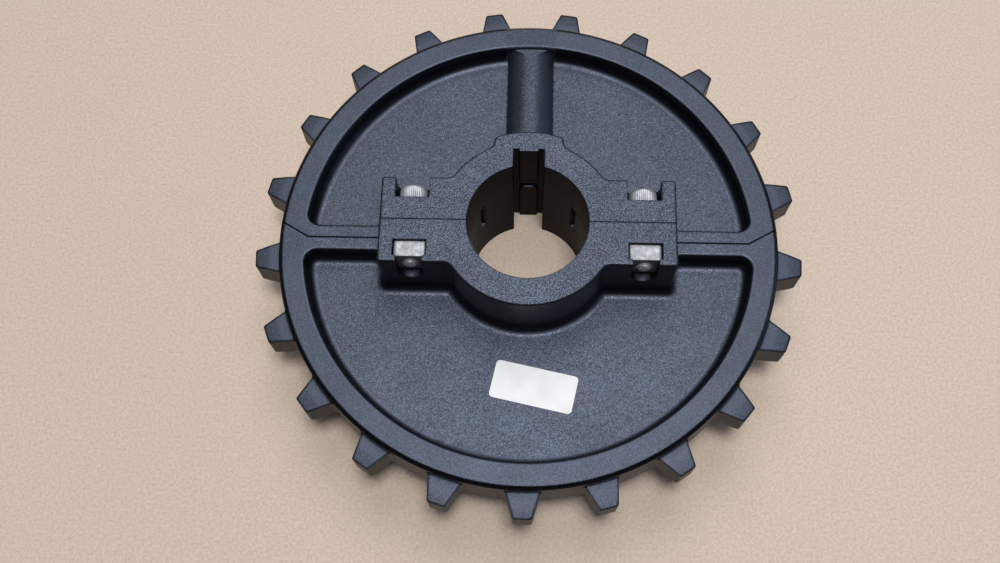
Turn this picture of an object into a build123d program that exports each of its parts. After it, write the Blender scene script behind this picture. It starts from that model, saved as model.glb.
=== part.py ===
from build123d import *
import os
from math import radians, sqrt, tan

# Two-piece (split) moulded sprocket for one-inch-pitch flat-top conveyor chain.
# Millimetres. The shaft axis is Z, the split plane is Y = 0, the keyed half lies on +Y.
# The origin is on the shaft axis, midway between the two hub faces.

# ---- chain teeth ----
TEETH = 21
TIP_R = 84.85           # tooth tips, from the shaft axis
TIP_W = 5.5             # across the flat tip
FLANK_ANGLE = 16.5      # each flank against the tooth's centre line, degrees
TIP_ROUND = 0.8
TOOTH_H = 7.75          # from the root circle to the tip
ROOT_FILLET = 1.5
TOOTH_T = 10.6          # tooth thickness along the shaft, at the root
TIP_T = 9.6             # and at the tip
TIP_BEVEL_L = 4.2       # radial length over which the tooth thins

# ---- rim and web ----
RIM_WALL = 8.1          # from the root circle in to the web recesses
RIM_W = 17.2
RIM_BEVEL_W = 1.2       # bevel between each face of the rim and its outer wall, in plan
RIM_BEVEL_H = 0.9       # and along the shaft
WEB_T = 4.0
BAR_W = 4.3             # stiffening bar beside the split, one on each half
POCKET_CORNER = 3.6     # plan corners of the web recesses
POCKET_FILLET = 2.8     # floor fillet of the web recesses
POCKET_EDGE = 1.0       # rounding of the rim and bars where they meet a recess

# ---- hub ----
BORE_R = 18.256         # 1 7/16 in shaft
HUB_WALL = 8.5
HUB_W = 47.6
HUB_EDGE = 0.5
EAR_HALF_W = 13.8       # clamp ear, from the split plane to its outer face
EAR_WALL = 4.2          # finger wall outside the screw head
EAR_CORNER = 1.0
EAR_FILLET = 3.0        # where an ear runs into the round hub

# ---- keyway, boss and rib on the keyed half ----
KEY_W = 9.525           # 3/8 in key
KEY_DEPTH = 4.65        # above the bore, on the centre line
KEY_RELIEF = 0.8        # depth of the corner reliefs behind the key seat
KEY_PAD_W = 5.8         # raised seat between the two corner reliefs
KEY_PAD_GAP = 3.0       # gap between the two seats at mid-width
KEY_PAD_ROUND = 2.0     # plan rounding of each seat's inner end
BOSS_WALL = 6.0
BOSS_W = 21.2
BOSS_CORNER = 1.8
BOSS_FILLET = 3.0       # where the boss runs into the round hub
RIB_R = 8.0
RIB_CREST = 7.4         # rib crest, from mid-width
RIB_FLARE = 3.0         # fillet where the rib's end meets the rim

# ---- split ----
SPLIT_GAP = 0.1
SPLIT_KINK_INSET = 0.9  # the split turns towards a tooth gap this far inside the rim's inner wall
SPLIT_ANGLE = 30.0
TONGUE_L = 10.5         # locating tongue of the plain half, beyond the split
TONGUE_T = 4.15         # its thickness at the split
TONGUE_W = 13.8         # its width along the shaft
TONGUE_END_GAP = 1.9
TONGUE_CLEAR = 0.15     # in front of the tongue's outer face
TONGUE_EDGE_CLEAR = 0.4 # beside the tongue, along the shaft

# ---- clamp screws and square nuts ----
SCREW_X = 34.8          # screw axis, from the shaft axis
SCREW_D = 5.0
SCREW_L = 20.0          # under the head
SCREW_TIP = 0.7
HEAD_D = 8.5
HEAD_H = 5.0
HEAD_EDGE = 0.4
SOCKET_AF = 4.0
SOCKET_DEPTH = 2.5
HEAD_SEAT_Y = 7.2       # seat of the head, from the split plane
HEAD_CLEAR = 0.9        # round the head in its pocket
HOLE_CLEAR = 0.25       # round the screw in its hole
NUT_W = 9.5
NUT_T = 5.0
NUT_EDGE = 0.35
NUT_SEAT_Y = 6.6        # seat of the nut, from the split plane
NUT_SIDE_CLEAR = 0.25
NUT_FACE_CLEAR = 0.1
NUT_RECESS = 1.25       # nut below the hub face
THREAD_CLEAR = 0.05
WINDOW_W = 7.8          # slot in the wall in front of the nut
WINDOW_DROP = 2.7       # centre of the slot's round end, below the screw axis

# ---- worked out from the above ----
ROOT_R = TIP_R - TOOTH_H
RIM_IN_R = ROOT_R - RIM_WALL
RIM_MID_R = ROOT_R - RIM_WALL / 2
HUB_R = BORE_R + HUB_WALL
HEAD_POCKET_R = HEAD_D / 2 + HEAD_CLEAR
EAR_END_X = SCREW_X + HEAD_POCKET_R + EAR_WALL
SCREW_Z = HUB_W / 2 - NUT_RECESS - NUT_W / 2
KEY_SEAT_Y = BORE_R + KEY_DEPTH
BOSS_R = KEY_SEAT_Y + KEY_RELIEF + BOSS_WALL
PITCH_ANGLE = 360 / TEETH
FAR = TIP_R + 10        # past every face, for cutting tools


def prism(outline, low, high):
    """Extrude an XY outline from z = low to z = high."""
    return extrude(Pos(0, 0, low) * outline, amount=high - low)


def block(x0, x1, y0, y1, z0, z1):
    """Box between two corners."""
    centre = Pos((x0 + x1) / 2, (y0 + y1) / 2, (z0 + z1) / 2)
    return centre * Box(x1 - x0, y1 - y0, z1 - z0)


def rod_y(x, z, radius, y0, y1):
    """Cylinder along Y."""
    return Pos(x, (y0 + y1) / 2, z) * Rot(90, 0, 0) * Cylinder(radius, y1 - y0)


def on_circle(vertex, radius):
    """Whether a plan vertex lies on a circle round the shaft axis."""
    return abs(vertex.distance_to(Vertex(0, 0, 0)) - radius) < 1e-3


# ---- outlines in plan ----

def tooth_outline():
    """One tooth along +X, from inside the root circle to the tip."""
    inner_r = ROOT_R - ROOT_FILLET
    tip = TIP_W / 2
    root = tip + (TIP_R - inner_r) * tan(radians(FLANK_ANGLE))
    return make_face(Polyline((inner_r, -root), (TIP_R, -tip), (TIP_R, tip), (inner_r, root), close=True))


def gear_outline():
    """Root circle with every tooth; a tooth gap is centred on +Y."""
    outline = Circle(ROOT_R)
    for index in range(TEETH):
        outline += Rot(0, 0, 90 + PITCH_ANGLE * (index + 0.5)) * tooth_outline()
    tips = outline.vertices().filter_by(lambda v: v.distance_to(Vertex(0, 0, 0)) > TIP_R - 1e-3)
    outline = fillet(tips, TIP_ROUND)
    roots = outline.vertices().filter_by(lambda v: on_circle(v, ROOT_R))
    return fillet(roots, ROOT_FILLET)


def boss_outline():
    """Pad of the hub round the keyway, with rounded corners."""
    sector = Circle(BOSS_R) & (Pos(0, BOSS_R / 2) * Rectangle(BOSS_W, BOSS_R))
    return fillet(sector.vertices().group_by(Axis.Y)[-1], BOSS_CORNER)


def hub_outline(boss):
    """Round hub with its two clamp ears, and the boss on the keyed half."""
    ears = RectangleRounded(2 * EAR_END_X, 2 * EAR_HALF_W, EAR_CORNER)
    outline = Circle(HUB_R) + ears
    joins = outline.vertices().filter_by(lambda v: on_circle(v, HUB_R))
    outline = fillet(joins, EAR_FILLET)
    if boss:
        outline += boss_outline()
        joins = outline.vertices().filter_by(lambda v: on_circle(v, HUB_R))
        outline = fillet(joins.filter_by(lambda v: v.Y > EAR_HALF_W + EAR_FILLET), BOSS_FILLET)
    return outline


def recess_outline(hub):
    """Web recess of the upper half: between hub, bars and rim."""
    upper = Pos(0, BAR_W + FAR / 2) * Rectangle(2 * FAR, FAR)
    outline = (Circle(RIM_IN_R) & upper) - hub
    corners = outline.vertices().group_by(Axis.Y)[0]
    return fillet(corners, POCKET_CORNER)


def split_region(side):
    """Plan of one half, side = +1 for the keyed half and -1 for the plain one."""
    kink_x = RIM_IN_R - SPLIT_KINK_INSET
    rise = (FAR - kink_x) * tan(radians(SPLIT_ANGLE))
    shift = side * SPLIT_GAP / 2
    return make_face(
        Polyline(
            (-FAR, rise + shift),
            (-kink_x, shift),
            (kink_x, shift),
            (FAR, rise + shift),
            (FAR, side * 2 * FAR),
            (-FAR, side * 2 * FAR),
            close=True,
        )
    )


# ---- solids ----

def rim_disc():
    """Disc as wide as the rim, bevelled at its two faces."""
    face_z = RIM_W / 2
    upper = [(0, face_z), (ROOT_R - RIM_BEVEL_W, face_z), (ROOT_R, face_z - RIM_BEVEL_H)]
    section = make_face(Polyline(*upper, *[(r, -z) for r, z in reversed(upper)], close=True))
    return revolve(Plane.XZ * section, Axis.Z)


def tooth_ring():
    """Toothed ring, thinner towards the tips."""
    bevel_r = TIP_R - TIP_BEVEL_L
    upper = [(RIM_MID_R, TOOTH_T / 2), (bevel_r, TOOTH_T / 2), (TIP_R + 1, TIP_T / 2)]
    section = make_face(Polyline(*upper, *[(r, -z) for r, z in reversed(upper)], close=True))
    envelope = revolve(Plane.XZ * section, Axis.Z)
    return prism(gear_outline(), -TOOTH_T / 2, TOOTH_T / 2) & envelope


def recess_cutter(outline):
    """Recess above the web, with its floor filleted."""
    cutter = prism(outline, WEB_T / 2, RIM_W / 2 + 1)
    return fillet(cutter.edges().group_by(Axis.Z)[0], POCKET_FILLET)


def recess_edges(disc):
    """Edges of the rim's two faces that look into a web recess."""
    on_face = disc.edges().filter_by(
        lambda e: all(abs(abs((e @ along).Z) - RIM_W / 2) < 1e-3 for along in (0, 0.5, 1))
    )
    return on_face.filter_by(lambda e: Vector((e @ 0.5).X, (e @ 0.5).Y).length < RIM_MID_R)


def half_blank(side):
    """One half before its bore and fastener seats are cut."""
    hub = hub_outline(boss=side > 0)
    cutter = recess_cutter(recess_outline(hub))
    nose = prism(hub, RIM_W / 2, HUB_W / 2)
    nose = chamfer(nose.edges().group_by(Axis.Z)[-1], HUB_EDGE)
    disc = rim_disc() - cutter - mirror(cutter, Plane.XY) + nose + mirror(nose, Plane.XY)
    disc = fillet(recess_edges(disc), POCKET_EDGE)
    blank = Rot(0, 0, 90 - 90 * side) * disc + tooth_ring()
    return blank & prism(split_region(side), -HUB_W, HUB_W)


def rib():
    """Radial rib from the boss to the rim, rounded like half a tube, on both faces of the web."""
    centre_z = RIB_CREST - RIB_R
    inner_y = HUB_R
    tube = rod_y(0, centre_z, RIB_R, inner_y, RIM_IN_R + 1)
    flare_y = RIM_IN_R - RIB_FLARE
    flare_r = RIB_R + RIB_FLARE
    inside = RIB_R - 1
    corner = make_face(
        Polyline((inside, flare_y), (RIB_R, flare_y), (flare_r, RIM_IN_R), (inside, RIM_IN_R), close=True)
    )
    corner -= Pos(flare_r, flare_y) * Circle(RIB_FLARE)
    flare = Pos(0, 0, centre_z) * revolve(corner, Axis.Y)
    upper = (tube + flare) & block(-FAR, FAR, inner_y, RIM_IN_R + 1, 0, RIB_CREST)
    return upper + mirror(upper, Plane.XY)


def keyway():
    """Key slot with relieved corners and two raised seats."""
    floor_y = KEY_SEAT_Y + KEY_RELIEF
    slot = block(-KEY_W / 2, KEY_W / 2, 0, floor_y, -HUB_W, HUB_W)
    for sign in (1, -1):
        pad_low = KEY_PAD_GAP / 2
        pad = block(-KEY_PAD_W / 2, KEY_PAD_W / 2, KEY_SEAT_Y, floor_y + 1, pad_low, HUB_W + 1)
        pad = fillet(pad.edges().filter_by(Axis.Y).group_by(Axis.Z)[0], KEY_PAD_ROUND)
        slot -= pad if sign > 0 else mirror(pad, Plane.XY)
    return slot


def tongues(face_clear, edge_clear, length):
    """Two blocks beside the bore, at mid-width, that cross the split."""
    outer_x = BORE_R + TONGUE_T + face_clear
    half_w = TONGUE_W / 2 + edge_clear
    pair = block(-outer_x, outer_x, -TONGUE_T, length, -half_w, half_w)
    return pair - block(-BORE_R / 2, BORE_R / 2, -FAR, FAR, -HUB_W, HUB_W)


def screw_places():
    """Name, x and z of each clamp screw."""
    for side_name, x in (("left", -SCREW_X), ("right", SCREW_X)):
        for face_name, z in (("front", SCREW_Z), ("back", -SCREW_Z)):
            yield f"{side_name}_{face_name}", x, z


def open_slot(x, z, radius, y0, y1):
    """U-shaped slot along Y, round at the bottom and open to the nearer hub face."""
    top = HUB_W if z > 0 else -HUB_W
    return rod_y(x, z, radius, y0, y1) + block(x - radius, x + radius, y0, y1, min(z, top), max(z, top))


def head_seat(x, z):
    """Pocket for a screw head and the hole behind it, in the keyed half."""
    pocket = open_slot(x, z, HEAD_POCKET_R, HEAD_SEAT_Y, FAR)
    return pocket + rod_y(x, z, SCREW_D / 2 + HOLE_CLEAR, -1, HEAD_SEAT_Y + 1)


def nut_seat(x, z):
    """Slot for a square nut, the screw's hole and the window in front of the nut."""
    inward = -1 if z > 0 else 1
    half = NUT_W / 2 + NUT_SIDE_CLEAR
    front_y = -NUT_SEAT_Y - NUT_T - NUT_FACE_CLEAR
    floor_z = z + inward * half
    top = -inward * HUB_W
    slot = block(x - half, x + half, front_y, -NUT_SEAT_Y, min(floor_z, top), max(floor_z, top))
    hole = rod_y(x, z, SCREW_D / 2 + HOLE_CLEAR, -NUT_SEAT_Y - 1, 1)
    window = open_slot(x, z + inward * WINDOW_DROP, WINDOW_W / 2, -FAR, front_y + 1)
    return slot + hole + window


def keyed_half():
    half = half_blank(1) + rib()
    half -= Cylinder(BORE_R, 2 * HUB_W)
    half -= keyway()
    half -= tongues(TONGUE_CLEAR, TONGUE_EDGE_CLEAR, TONGUE_L + TONGUE_END_GAP)
    for _, x, z in screw_places():
        half -= head_seat(x, z)
    return half


def plain_half():
    half = half_blank(-1) + tongues(0, 0, TONGUE_L)
    half -= Cylinder(BORE_R, 2 * HUB_W)
    for _, x, z in screw_places():
        half -= nut_seat(x, z)
    return half


def clamp_screw(x, z):
    """Socket-head cap screw along Y, its head towards +Y."""
    head = rod_y(x, z, HEAD_D / 2, HEAD_SEAT_Y, HEAD_SEAT_Y + HEAD_H)
    head = chamfer(head.edges().filter_by(GeomType.CIRCLE).group_by(Axis.Y)[-1], HEAD_EDGE)
    shank = rod_y(x, z, SCREW_D / 2, HEAD_SEAT_Y - SCREW_L, HEAD_SEAT_Y)
    shank = chamfer(shank.edges().filter_by(GeomType.CIRCLE).group_by(Axis.Y)[0], SCREW_TIP)
    socket = RegularPolygon(SOCKET_AF / sqrt(3), 6)
    end = Plane(origin=(x, HEAD_SEAT_Y + HEAD_H, z), z_dir=(0, 1, 0))
    return head + shank - extrude(end * socket, amount=-SOCKET_DEPTH)


def square_nut(x, z):
    """Square nut against its seat in the plain half."""
    half = NUT_W / 2
    nut = block(x - half, x + half, -NUT_SEAT_Y - NUT_T, -NUT_SEAT_Y, z - half, z + half)
    nut = chamfer(nut.edges().filter_by(Axis.Y), NUT_EDGE)
    return nut - rod_y(x, z, SCREW_D / 2 + THREAD_CLEAR, -NUT_SEAT_Y - NUT_T - 1, -NUT_SEAT_Y + 1)


def save(shape, name):
    shape.label = name
    export_step(shape, f"parts/{name}.step")


os.makedirs("parts", exist_ok=True)
save(keyed_half(), "keyed_half")
save(plain_half(), "plain_half")
for place, screw_x, screw_z in screw_places():
    save(clamp_screw(screw_x, screw_z), f"clamp_screw_{place}")
    save(square_nut(screw_x, screw_z), f"square_nut_{place}")
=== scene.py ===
import math

import bmesh
import bpy
from mathutils import Matrix, Vector


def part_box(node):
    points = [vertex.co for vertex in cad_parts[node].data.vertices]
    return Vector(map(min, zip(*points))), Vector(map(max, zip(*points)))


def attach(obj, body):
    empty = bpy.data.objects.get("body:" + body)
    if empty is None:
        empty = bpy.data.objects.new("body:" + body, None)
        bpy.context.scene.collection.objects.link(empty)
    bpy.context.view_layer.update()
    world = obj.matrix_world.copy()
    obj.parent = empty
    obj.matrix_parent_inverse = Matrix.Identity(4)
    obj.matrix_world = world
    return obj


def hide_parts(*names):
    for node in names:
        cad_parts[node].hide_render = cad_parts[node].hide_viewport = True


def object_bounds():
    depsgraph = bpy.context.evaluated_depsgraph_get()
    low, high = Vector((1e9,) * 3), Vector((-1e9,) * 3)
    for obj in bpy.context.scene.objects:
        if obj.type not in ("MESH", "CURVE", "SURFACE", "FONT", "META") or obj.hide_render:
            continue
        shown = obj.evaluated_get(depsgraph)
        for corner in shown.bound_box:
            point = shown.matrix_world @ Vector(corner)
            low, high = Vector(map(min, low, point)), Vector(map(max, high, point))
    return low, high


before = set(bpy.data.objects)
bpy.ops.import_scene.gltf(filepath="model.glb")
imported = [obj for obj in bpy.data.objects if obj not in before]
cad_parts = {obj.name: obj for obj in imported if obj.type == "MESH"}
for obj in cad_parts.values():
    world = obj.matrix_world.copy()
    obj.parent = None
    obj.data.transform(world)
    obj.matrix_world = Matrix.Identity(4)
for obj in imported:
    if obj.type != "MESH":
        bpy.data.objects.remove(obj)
cad_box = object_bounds()

MM = 0.001
HALVES = ("keyed_half", "plain_half")
PLACES = [f"{side}_{face}" for side in ("left", "right") for face in ("front", "back")]

# ---- mesh helpers ----

SMOOTH_ANGLE = math.radians(35)


def new_object(name, bm, material):
    """Turns a bmesh into an object, smooth except across sharp edges."""
    mesh = bpy.data.meshes.new(name)
    bm.normal_update()
    for edge in bm.edges:
        if len(edge.link_faces) == 2:
            edge.smooth = edge.calc_face_angle() < SMOOTH_ANGLE
    for face in bm.faces:
        face.smooth = True
    bm.to_mesh(mesh)
    bm.free()
    mesh.materials.append(material)
    obj = bpy.data.objects.new(name, mesh)
    bpy.context.scene.collection.objects.link(obj)
    return obj


def loft(bm, rings, hollow=False):
    """Joins rings of equally many points, and caps the ends or, if hollow, joins them too."""
    loops = [[bm.verts.new(point) for point in ring] for ring in rings]
    if hollow:
        loops.append(loops[0])
    count = len(loops[0])
    for lower, upper in zip(loops, loops[1:]):
        for i in range(count):
            j = (i + 1) % count
            bm.faces.new((lower[i], lower[j], upper[j], upper[i]))
    if not hollow:
        bm.faces.new(list(reversed(loops[0])))
        bm.faces.new(loops[-1])


def ring_y(centre, y, radius_at, count):
    """Ring round the Y axis through centre; radius_at gives the radius at an angle."""
    points = []
    for i in range(count):
        angle = 2 * math.pi * i / count
        radius = radius_at(angle)
        points.append((centre.x + radius * math.sin(angle), y, centre.z + radius * math.cos(angle)))
    return points


def polygon_radius(angle, inradius, corners, turn=0.0):
    """Radius of a regular polygon at an angle."""
    step = 2 * math.pi / corners
    return inradius / math.cos((angle - turn) % step - step / 2)


# ---- materials ----

X, Y, Z = range(3)
MIX_FACTOR, MIX_COLOR_A, MIX_COLOR_B = 0, 6, 7  # inputs of a Mix node on colours
MIX_COLOR_OUT = 2
BEVEL_SAMPLES = 6
WORN_DOT = 0.8  # dot of the rounded and the flat normal at which an edge counts as fully worn


class Nodes:
    """Short way of building a node tree."""

    def __init__(self, name):
        self.material = bpy.data.materials.new(name)
        self.material.use_nodes = True
        self.tree = self.material.node_tree
        self.shader = self.tree.nodes["Principled BSDF"]
        self.coords = self.add("ShaderNodeTexCoord").outputs["Object"]

    def add(self, kind, **settings):
        node = self.tree.nodes.new(kind)
        for key, value in settings.items():
            setattr(node, key, value)
        return node

    def put(self, socket, value):
        """Links an output to a socket, or sets a constant on it."""
        if hasattr(value, "is_output"):
            self.tree.links.new(value, socket)
        else:
            socket.default_value = value

    def noise(self, scale, detail=3.0, rough=0.5, stretch=None):
        node = self.add("ShaderNodeTexNoise")
        source = self.coords
        if stretch:
            mapping = self.add("ShaderNodeMapping")
            self.put(mapping.inputs["Vector"], source)
            mapping.inputs["Scale"].default_value = stretch
            source = mapping.outputs["Vector"]
        self.put(node.inputs["Vector"], source)
        node.inputs["Scale"].default_value = scale
        node.inputs["Detail"].default_value = detail
        node.inputs["Roughness"].default_value = rough
        return node.outputs["Fac"]

    def remap(self, value, low, high, out_low=0.0, out_high=1.0):
        """Clamped linear change of range; low may lie above high."""
        node = self.add("ShaderNodeMapRange")
        self.put(node.inputs["Value"], value)
        for socket, number in zip(node.inputs[1:5], (low, high, out_low, out_high)):
            self.put(socket, number)
        return node.outputs["Result"]

    def math(self, operation, a, b):
        node = self.add("ShaderNodeMath", operation=operation)
        self.put(node.inputs[0], a)
        self.put(node.inputs[1], b)
        return node.outputs["Value"]

    def times(self, a, b):
        return self.math("MULTIPLY", a, b)

    def absolute(self, value):
        return self.math("ABSOLUTE", value, 0.0)

    def mix(self, factor, a, b):
        """Blend of two colours, each an output or a plain colour."""
        node = self.add("ShaderNodeMix", data_type="RGBA")
        self.put(node.inputs[MIX_FACTOR], factor)
        for socket, value in ((node.inputs[MIX_COLOR_A], a), (node.inputs[MIX_COLOR_B], b)):
            self.put(socket, (*value, 1.0) if isinstance(value, tuple) else value)
        return node.outputs[MIX_COLOR_OUT]

    def signed(self, vector, axis):
        """A vector's part along one axis."""
        split = self.add("ShaderNodeSeparateXYZ")
        self.put(split.inputs[0], vector)
        return split.outputs[axis]

    def part(self, vector, axis):
        """Absolute value of a vector's part along one axis."""
        return self.absolute(self.signed(vector, axis))

    def facing(self, normal, axis):
        """Absolute part of a world normal along one of the object's own axes."""
        turned = self.add("ShaderNodeVectorTransform", vector_type="NORMAL")
        self.put(turned.inputs[0], normal)
        return self.part(turned.outputs[0], axis)

    def from_axis(self):
        """Distance from the shaft axis."""
        x, y = self.part(self.coords, X), self.part(self.coords, Y)
        return self.math("SQRT", self.math("ADD", self.times(x, x), self.times(y, y)), 0.0)

    def within(self, value, limit, blend):
        """1 up to a limit, falling to 0 over a short blend past it."""
        return self.remap(value, limit + blend, limit)

    def beyond(self, value, start, blend):
        """0 up to a start, rising to 1 over a short blend past it."""
        return self.remap(value, start, start + blend)

    def edge(self, radius):
        """Rounded-edge normal, and how strongly it departs from the flat one."""
        bevel = self.add("ShaderNodeBevel", samples=BEVEL_SAMPLES)
        self.put(bevel.inputs["Radius"], radius)
        flat = self.add("ShaderNodeNewGeometry").outputs["Normal"]
        dot = self.add("ShaderNodeVectorMath", operation="DOT_PRODUCT")
        self.put(dot.inputs[0], bevel.outputs["Normal"])
        self.put(dot.inputs[1], flat)
        return bevel.outputs["Normal"], self.remap(dot.outputs["Value"], 1.0, WORN_DOT)

    def bump(self, height, distance, strength=1.0, normal=None):
        node = self.add("ShaderNodeBump")
        node.inputs["Strength"].default_value = strength
        node.inputs["Distance"].default_value = distance
        self.put(node.inputs["Height"], height)
        if normal is not None:
            self.put(node.inputs["Normal"], normal)
        return node.outputs["Normal"]

    def finish(self, color, roughness, normal, metallic=0.0, specular=0.5, tint=(1.0, 1.0, 1.0)):
        self.put(self.shader.inputs["Base Color"], color)
        self.put(self.shader.inputs["Roughness"], roughness)
        self.put(self.shader.inputs["Normal"], normal)
        self.shader.inputs["Metallic"].default_value = metallic
        self.put(self.shader.inputs["Specular IOR Level"], specular)
        self.shader.inputs["Specular Tint"].default_value = (*tint, 1.0)
        return self.material


# Where the plastic's looks change, in the part's frame
RIB_HALF_W = 8.0 * MM
RIB_START_Y = 29 * MM
KEY_DEPTH_R = 24 * MM  # the bore and its keyway lie inside this radius
HUB_WALL_R = 26.5 * MM
WEB_END_R = 64 * MM
RECESS_END_R = 72 * MM
RIM_END_R = 75 * MM  # from here out come the rim's bevel and the teeth
TEETH_R = 80 * MM
TIP_SHADE_R = 84 * MM
BARS_START_X = 43 * MM
SPLIT_KINK_X = 68.1 * MM
SPLIT_SLOPE = math.tan(math.radians(30))
SHUT_LINE_HALF_W = 0.15 * MM
SHUT_LINE_BLEND = 0.30 * MM
SHUT_LINE_ON_HUB = 0.3
EDGE_ROUNDING = 0.6 * MM
TOOTH_ROUNDING = 1.2 * MM
GRAIN_HEIGHT = 0.10 * MM

# Plastic colours
PLASTIC_DARK = (0.018, 0.021, 0.029)
PLASTIC_PALE = (0.026, 0.031, 0.042)
PLASTIC_FLOW = (0.021, 0.025, 0.035)
# painted highlight colour for the grain's glints
PLASTIC_PAINTED_GLINT = (0.150, 0.175, 0.230)
PLASTIC_PIT = (0.004, 0.005, 0.008)
PLASTIC_RUBBED = (0.10, 0.11, 0.13)
# Painted shade for walls, rounded edges and the rib's sides, and a painted reflection of the floor
# on the outer walls
WALL_INNER_SHADE = (0.004, 0.004, 0.005)
WALL_OUTER_FLOOR_BOUNCE = (0.036, 0.033, 0.032)
EDGE_SHADE = (0.003, 0.003, 0.004)
RIB_WALL_SHADE = (0.010, 0.012, 0.018)
# painted shadow of the gap along the split
SPLIT_GAP_SHADE = (0.003, 0.003, 0.004)
PLASTIC_SHEEN = (0.64, 0.74, 1.0)


def split_line(n):
    """How close a point is to the split, which turns towards a tooth gap at the rim."""
    x = n.part(n.coords, X)
    past_kink = n.math("MAXIMUM", n.math("SUBTRACT", x, SPLIT_KINK_X), 0.0)
    rise = n.times(past_kink, SPLIT_SLOPE)
    away = n.absolute(n.math("SUBTRACT", n.signed(n.coords, Y), rise))
    strength = n.remap(x, BARS_START_X, BARS_START_X + 3 * MM, SHUT_LINE_ON_HUB, 1.0)
    return n.times(n.within(away, SHUT_LINE_HALF_W, SHUT_LINE_BLEND), strength)


def moulded_plastic():
    """Blue-black polyamide: grained faces with painted glints; walls, rounded edges and tooth
    outlines darkened with painted shade, the outer walls lightened with a painted reflection of the
    floor; a painted shadow along the split; rounded edges with light wear.
    """
    n = Nodes("moulded_plastic")
    radius = n.from_axis()
    rounding = n.remap(radius, RIM_END_R, RIM_END_R + 2 * MM, EDGE_ROUNDING, TOOTH_ROUNDING)
    rounded, wear = n.edge(rounding)
    grain = n.noise(3200, 0.0, 0.5)
    speckle = n.noise(2300, 1.0, 0.6)
    mottle = n.noise(60, 4.0, 0.6)
    flow = n.noise(17, 3.0, 0.5)

    # Faces square to the shaft carry grain and gloss; walls, rounded edges and tooth outlines
    # don't, and are coloured with painted shade instead
    upright = n.facing(rounded, Z)
    wall_end = n.remap(radius, RIM_END_R, RIM_END_R + 1 * MM, 0.74, 0.955)
    flat_face = n.remap(upright, wall_end, 0.985)
    on_rib = n.within(n.part(n.coords, X), RIB_HALF_W, 0.6 * MM)
    on_rib = n.times(on_rib, n.beyond(n.signed(n.coords, Y), RIB_START_Y, 2 * MM))
    rib_face = n.times(on_rib, n.remap(upright, 0.35, 1.0, 0.0, 0.8))
    flat_face = n.math("MAXIMUM", flat_face, rib_face)
    on_hub_wall = n.within(radius, HUB_WALL_R, 1.5 * MM)
    on_hub_wall = n.times(on_hub_wall, n.beyond(radius, KEY_DEPTH_R, 1 * MM))
    coarse = n.remap(n.part(n.coords, Z), 10 * MM, 20 * MM, 0.75, 1.15)
    coarse = n.times(coarse, n.remap(radius, WEB_END_R, WEB_END_R + 6 * MM, 1.0, 0.5))
    grained = n.times(flat_face, coarse)

    # Colour
    tone = n.mix(n.remap(mottle, 0.35, 0.7), PLASTIC_DARK, PLASTIC_PALE)
    tone = n.mix(n.remap(flow, 0.4, 0.75, 0.0, 0.5), tone, PLASTIC_FLOW)
    # Painted highlight: bright specks in the grained faces' colour stand in for glints of light off
    # the grain.
    painted_glints = n.times(n.remap(grain, 0.50, 0.70, 0.0, 0.8), grained)
    tone = n.mix(painted_glints, tone, PLASTIC_PAINTED_GLINT)
    pits = n.times(n.remap(speckle, 0.50, 0.36, 0.0, 0.9), grained)
    tone = n.mix(pits, tone, PLASTIC_PIT)
    # Painted shade: walls, rounded edges and tooth outlines get darker colours than the faces, by
    # which way they face; the outer walls get a lighter brown as a painted reflection of the floor.
    wall_shade_and_bounce = n.mix(n.beyond(radius, RECESS_END_R, 3 * MM), WALL_INNER_SHADE, WALL_OUTER_FLOOR_BOUNCE)
    wall_shade_and_bounce = n.mix(n.remap(upright, 0.08, 0.22), wall_shade_and_bounce, EDGE_SHADE)
    wall_shade_and_bounce = n.mix(on_rib, wall_shade_and_bounce, RIB_WALL_SHADE)
    tone = n.mix(flat_face, wall_shade_and_bounce, tone)
    # Painted shadow: a dark line along the split stands in for the shade in the gap between the
    # halves; the shine is lowered there too.
    split_gap_shade = split_line(n)
    tone = n.mix(split_gap_shade, tone, SPLIT_GAP_SHADE)
    rubbed = n.times(wear, n.remap(n.noise(420, 3.0), 0.50, 0.75, 0.0, 0.15))
    tone = n.mix(rubbed, tone, PLASTIC_RUBBED)

    # Surface
    roughness = n.remap(upright, 0.988, 0.997, 0.42, 0.52)
    roughness = n.math("ADD", roughness, n.remap(mottle, 0.3, 0.7, 0.04, -0.03))
    uneven = n.times(n.remap(speckle, 0.35, 0.65, 0.14, -0.10), grained)
    roughness = n.math("ADD", roughness, uneven)
    relief = n.math("ADD", n.times(grain, 0.5), speckle)
    relief = n.times(relief, n.remap(grained, 0.0, 1.0, 0.10, 1.0))
    normal = n.bump(relief, GRAIN_HEIGHT, 0.8, rounded)

    # Shine, by place
    wall_shine = n.remap(radius, KEY_DEPTH_R, KEY_DEPTH_R + 2 * MM, 0.04, 0.18)
    edge_shine = n.remap(radius, RIM_END_R - 1 * MM, RIM_END_R + 0.5 * MM, 2.2, 0.6)
    wall_shine = n.times(wall_shine, n.remap(upright, 0.2, 0.5, 1.0, edge_shine))
    wall_shine = n.math("MAXIMUM", wall_shine, n.times(on_hub_wall, 0.6))
    wall_shine = n.math("MAXIMUM", wall_shine, n.times(on_rib, 0.6))
    shine = n.remap(flat_face, 0.0, 1.0, wall_shine, 0.94)
    shine = n.times(shine, n.remap(split_gap_shade, 0.0, 1.0, 1.0, 0.1))
    shine = n.times(shine, n.remap(radius, TEETH_R, TIP_SHADE_R, 1.0, 0.68))
    shine = n.times(shine, n.remap(on_rib, 0.0, 1.0, 1.0, 0.82))
    return n.finish(tone, roughness, normal, specular=shine, tint=PLASTIC_SHEEN)


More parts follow.
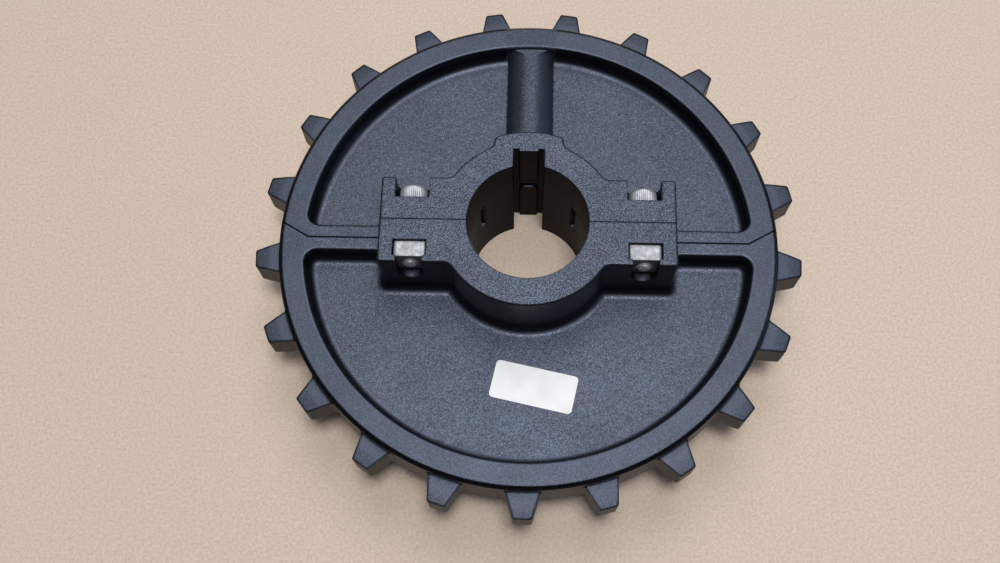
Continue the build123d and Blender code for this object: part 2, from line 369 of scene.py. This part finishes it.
def bright_steel():
    """Sawn and tumbled nut steel, with fine lines and dull spots; its faces across the screw axis
    are darkened with painted shade.
    """
    n = Nodes("nut_steel")
    rounded, wear = n.edge(0.15 * MM)
    lines = n.noise(1500, 3.0, 0.6, (1.0, 0.2, 0.2))
    spots = n.noise(520, 4.0, 0.65)
    tone = n.mix(n.remap(spots, 0.35, 0.7), (0.28, 0.29, 0.31), (0.46, 0.47, 0.49))
    tone = n.mix(n.remap(lines, 0.45, 0.65, 0.0, 0.4), tone, (0.26, 0.27, 0.29))
    tone = n.mix(n.times(wear, 0.5), tone, (0.66, 0.66, 0.67))
    roughness = n.remap(spots, 0.3, 0.7, 0.66, 0.52)
    # Painted shade: the faces across the screw axis are darkened.
    axis_face_shade = n.remap(n.facing(rounded, Y), 0.6, 0.9, 0.0, 0.7)
    tone = n.mix(axis_face_shade, tone, (0.10, 0.10, 0.105))
    normal = n.bump(n.math("ADD", lines, spots), 0.05 * MM, 0.6, rounded)
    return n.finish(tone, roughness, normal, metallic=1.0)


def screw_steel():
    """Plated cap-screw steel, stained in places and brighter on its edges."""
    n = Nodes("screw_steel")
    rounded, wear = n.edge(0.12 * MM)
    plate = n.noise(700, 3.0, 0.55)
    stain = n.noise(180, 3.0, 0.5)
    tone = n.mix(n.remap(plate, 0.35, 0.7), (0.50, 0.51, 0.54), (0.66, 0.67, 0.70))
    tone = n.mix(n.remap(stain, 0.55, 0.8, 0.0, 0.4), tone, (0.34, 0.34, 0.35))
    tone = n.mix(n.times(wear, 0.5), tone, (0.78, 0.79, 0.81))
    roughness = n.remap(stain, 0.3, 0.7, 0.56, 0.66)
    normal = n.bump(plate, 0.03 * MM, 0.5, rounded)
    return n.finish(tone, roughness, normal, metallic=1.0)


def label_paper():
    """Blank coated paper with a faint fibre."""
    n = Nodes("label_paper")
    fibre = n.noise(1500, 4.0, 0.6)
    cloud = n.noise(160, 3.0, 0.5)
    tone = n.mix(n.remap(cloud, 0.35, 0.7), (0.86, 0.86, 0.86), (0.80, 0.80, 0.80))
    tone = n.mix(n.remap(fibre, 0.55, 0.75, 0.0, 0.25), tone, (0.74, 0.73, 0.71))
    normal = n.bump(fibre, 0.02 * MM, 0.4)
    return n.finish(tone, n.remap(cloud, 0.3, 0.7, 0.42, 0.55), normal, specular=0.4)


PLASTIC = moulded_plastic()
NUT_STEEL = bright_steel()
SCREW_STEEL = screw_steel()
PAPER = label_paper()

for half in HALVES:
    for material_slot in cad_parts[half].material_slots:
        material_slot.material = PLASTIC

# ---- clamp screws: knurled heads, hexagon sockets and cut threads ----

SHANK_R = 2.5 * MM
HEAD_HEIGHT = 5.0 * MM
HEAD_EDGE = 0.4 * MM
KNURLS = 48
KNURL_DEPTH = 0.16 * MM
SOCKET_R = 2.0 * MM
SOCKET_DEPTH = 2.5 * MM
SOCKET_CHAMFER = 1.28  # mouth of the socket, as a share of its half width
PITCH = 0.8 * MM
STEP = PITCH / 8  # rings along a thread
THREAD_DEPTH = 0.43 * MM
TIP_LENGTH = 0.7 * MM
TIP_DOME = ((0.0, 1.9), (0.06, 1.5), (0.16, 1.1), (0.32, 0.75), (0.52, 0.5))  # mm along, mm in
HEAD_POINTS = 4 * KNURLS
SHANK_POINTS = 48


def knurled(radius, depth):
    """Radius of a straight-knurled cylinder."""
    return lambda angle: radius - depth * abs(((angle * KNURLS / (2 * math.pi)) % 1) * 2 - 1)


def plain(radius):
    return lambda angle: radius


def hexagon(inradius):
    return lambda angle: polygon_radius(angle, inradius, 6)


def threaded(y, major, depth):
    """Radius of a right-hand thread at one place along Y, with flats on its crest and root."""
    def radius(angle):
        phase = (y / PITCH - angle / (2 * math.pi)) % 1
        ridge = min(1.0, max(0.0, 1.45 * (1 - abs(2 * phase - 1)) - 0.2))
        return major - depth * (1 - ridge)
    return radius


def screw_mesh(centre, head_r, seat_y, top_y, tip_y):
    """Head with its socket from seat_y to top_y, and a separate shank from tip_y into the head."""
    bm = bmesh.new()
    head = [
        (seat_y, plain(head_r - HEAD_EDGE)),
        (seat_y + 0.25 * HEAD_EDGE, plain(head_r - 0.35 * HEAD_EDGE)),
        (seat_y + HEAD_EDGE, knurled(head_r, 0.05 * MM)),
        (seat_y + 1.5 * HEAD_EDGE, knurled(head_r, KNURL_DEPTH)),
        (top_y - 1.2 * MM, knurled(head_r, KNURL_DEPTH)),
        (top_y - 0.9 * MM, knurled(head_r, 0.03 * MM)),
        (top_y - 0.5 * MM, plain(head_r - 0.10 * MM)),
        (top_y - 0.2 * MM, plain(head_r - 0.36 * MM)),
        (top_y, plain(head_r - 0.85 * MM)),
        (top_y, plain(SOCKET_R * SOCKET_CHAMFER)),
        (top_y - 0.2 * MM, hexagon(SOCKET_R)),
        (top_y - SOCKET_DEPTH, hexagon(SOCKET_R)),
        (top_y - SOCKET_DEPTH - 0.5 * MM, plain(0.3 * MM)),
    ]
    loft(bm, [ring_y(centre, y, radius, HEAD_POINTS) for y, radius in head])

    shank = [(tip_y + back * MM, plain(SHANK_R - inset * MM)) for back, inset in TIP_DOME]
    end = tip_y + TIP_LENGTH
    for step in range(int((seat_y - 0.1 * MM - end) / STEP) + 1):
        y = end + step * STEP
        taper = 0.3 * MM * (1 - min(1.0, step / 5))
        shank.append((y, threaded(y, SHANK_R - taper, THREAD_DEPTH)))
    shank.append((seat_y + 0.05 * MM, plain(SHANK_R)))
    loft(bm, [ring_y(centre, y, radius, SHANK_POINTS) for y, radius in shank])
    return bm


# ---- square nuts: threaded hole, countersinks and eased corners ----

NUT_HOLE_R = 2.55 * MM
NUT_SINK_R = NUT_HOLE_R + 0.45 * MM
NUT_THREAD_R = NUT_HOLE_R + 0.30 * MM
NUT_THREAD_DEPTH = 0.25 * MM
NUT_THREAD_START = 0.35 * MM
NUT_EASE = 0.18 * MM
NUT_CORNER = 1.36  # reach of a corner, as a share of half the width
NUT_POINTS = 96


def square(half):
    """Radius of a square with its corners cut off."""
    return lambda angle: min(polygon_radius(angle, half, 4, math.pi / 4), half * NUT_CORNER)


def nut_mesh(centre, low, high):
    """Outside from low to high along Y, then the thread back down through the hole."""
    bm = bmesh.new()
    half = (high.x - low.x) / 2
    rings = [
        (low.y, plain(NUT_SINK_R)),
        (low.y, square(half - NUT_EASE)),
        (low.y + NUT_EASE, square(half)),
        (high.y - NUT_EASE, square(half)),
        (high.y, square(half - NUT_EASE)),
        (high.y, plain(NUT_SINK_R)),
    ]
    for step in range(int((high.y - low.y - 2 * NUT_THREAD_START) / STEP) + 1):
        y = high.y - NUT_THREAD_START - step * STEP
        rings.append((y, threaded(y, NUT_THREAD_R, NUT_THREAD_DEPTH)))
    loft(bm, [ring_y(centre, y, radius, NUT_POINTS) for y, radius in rings], hollow=True)
    return bm


for place in PLACES:
    screw_low, screw_high = map(Vector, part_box(f"clamp_screw_{place}"))
    nut_low, nut_high = map(Vector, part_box(f"square_nut_{place}"))
    axis = (nut_low + nut_high) / 2
    head_radius = (screw_high.x - screw_low.x) / 2
    head_seat = screw_high.y - HEAD_HEIGHT
    screw_bm = screw_mesh(axis, head_radius, head_seat, screw_high.y, screw_low.y)
    screw = new_object(f"cap_screw_{place}", screw_bm, SCREW_STEEL)
    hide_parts(f"clamp_screw_{place}")
    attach(screw, f"screw_{place}")
    nut = new_object(f"nut_{place}", nut_mesh(axis, nut_low, nut_high), NUT_STEEL)
    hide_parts(f"square_nut_{place}")
    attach(nut, "plain_half")

# ---- blank label on the plain half's web ----

LABEL_SIZE = (25.3 * MM, 11.8 * MM)
LABEL_CENTRE = Vector((2.7 * MM, -44.9 * MM, 2.0 * MM))
LABEL_TURN = math.radians(-11.9)
LABEL_CORNER = 1.3 * MM
LABEL_THICKNESS = 0.10 * MM
LABEL_LIFT = 0.01 * MM
CORNER_STEPS = 8


def label_mesh():
    """Thin sheet with round corners, lying just above the web, its top edge slightly drawn in."""
    bm = bmesh.new()
    outline = []
    for side_x, side_y, start in ((1, 1, 0), (-1, 1, 90), (-1, -1, 180), (1, -1, 270)):
        for step in range(CORNER_STEPS + 1):
            angle = math.radians(start + 90 * step / CORNER_STEPS)
            x = side_x * (LABEL_SIZE[0] / 2 - LABEL_CORNER) + LABEL_CORNER * math.cos(angle)
            y = side_y * (LABEL_SIZE[1] / 2 - LABEL_CORNER) + LABEL_CORNER * math.sin(angle)
            outline.append((x, y))
    turn = Matrix.Rotation(LABEL_TURN, 3, "Z")

    def ring(scale, z):
        return [LABEL_CENTRE + turn @ Vector((x * scale, y * scale, z)) for x, y in outline]

    top = ring(0.995, 1.15 * LABEL_THICKNESS)
    loft(bm, [ring(1.0, LABEL_LIFT), ring(1.0, LABEL_THICKNESS), top])
    return bm


label = new_object("blank_label", label_mesh(), PAPER)
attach(label, "plain_half")

# ---- floor, light and camera ----

FLOOR_COLOR = (0.725, 0.585, 0.475)
FLOOR_HALF_SIZE = 1.5
FLOOR_GAP = 0.05 * MM
WORLD_COLOR = (0.95, 0.97, 1.0)
WORLD_STRENGTH = 0.08
CAMERA_PLACE = Vector((0.000798, -0.132265, 0.325361))
CAMERA_RIGHT = Vector((0.99949, 0.02618, -0.01835))
CAMERA_DOWN = Vector((0.01809, -0.93633, -0.35064))
CAMERA_FORWARD = Vector((-0.02636, 0.35013, -0.93633))
CAMERA_LENS = 39.958
CAMERA_SENSOR = 36.0


def floor_shade(factor):
    return tuple(channel * factor for channel in FLOOR_COLOR)


def floor_material():
    """Pale brown paper with fine fibres and a few flecks."""
    n = Nodes("floor_paper")
    fibre = n.noise(1100, 3.0, 0.65)
    fleck = n.noise(260, 2.0, 0.5)
    cloud = n.noise(12, 3.0, 0.5)
    tone = n.mix(n.remap(cloud, 0.3, 0.7), floor_shade(0.96), FLOOR_COLOR)
    tone = n.mix(n.remap(fibre, 0.38, 0.66, 0.0, 0.8), tone, floor_shade(0.76))
    tone = n.mix(n.remap(fleck, 0.70, 0.76, 0.0, 0.5), tone, floor_shade(0.7))
    return n.finish(tone, 0.8, n.bump(fibre, 0.05 * MM, 0.2), specular=0.2)


def add_floor():
    bm = bmesh.new()
    bmesh.ops.create_grid(bm, x_segments=1, y_segments=1, size=FLOOR_HALF_SIZE)
    floor = new_object("floor", bm, floor_material())
    floor.location.z = cad_box[0][Z] - FLOOR_GAP


def add_panel(name, place, size, power, color=(1.0, 1.0, 1.0)):
    """Rectangular area light aimed at the middle of the part."""
    light = bpy.data.lights.new(name, "AREA")
    light.shape = "RECTANGLE"
    light.size, light.size_y = size
    light.energy = power
    light.color = color
    obj = bpy.data.objects.new(name, light)
    obj.location = place
    obj.rotation_euler = (-Vector(place)).to_track_quat("-Z", "Y").to_euler()
    bpy.context.scene.collection.objects.link(obj)


def add_light():
    """A compact panel nearly overhead, a wide one behind it, and a dim blue one from the right."""
    add_panel("compact", (0.05, -0.13, 1.15), (0.30, 0.30), 8.5)
    add_panel("softbox", (0.04, 0.56, 1.10), (0.75, 0.75), 6.2, (0.96, 0.98, 1.0))
    add_panel("side", (1.2, 0.1, 0.18), (0.5, 0.3), 3.0, (0.50, 0.68, 1.0))
    world = bpy.data.worlds.new("studio")
    bpy.context.scene.world = world
    world.use_nodes = True
    background = world.node_tree.nodes["Background"]
    background.inputs["Color"].default_value = (*WORLD_COLOR, 1.0)
    background.inputs["Strength"].default_value = WORLD_STRENGTH


def add_camera():
    """Camera at the photograph's viewing angle, in the part's frame."""
    data = bpy.data.cameras.new("camera")
    data.sensor_width = CAMERA_SENSOR
    data.lens = CAMERA_LENS
    data.clip_start = 0.01
    camera = bpy.data.objects.new("camera", data)
    turn = Matrix((CAMERA_RIGHT, -CAMERA_DOWN, -CAMERA_FORWARD)).transposed().to_4x4()
    camera.matrix_world = Matrix.Translation(CAMERA_PLACE) @ turn
    bpy.context.scene.collection.objects.link(camera)
    bpy.context.scene.camera = camera


add_floor()
add_light()
add_camera()
bpy.context.scene.view_settings.view_transform = "Standard"
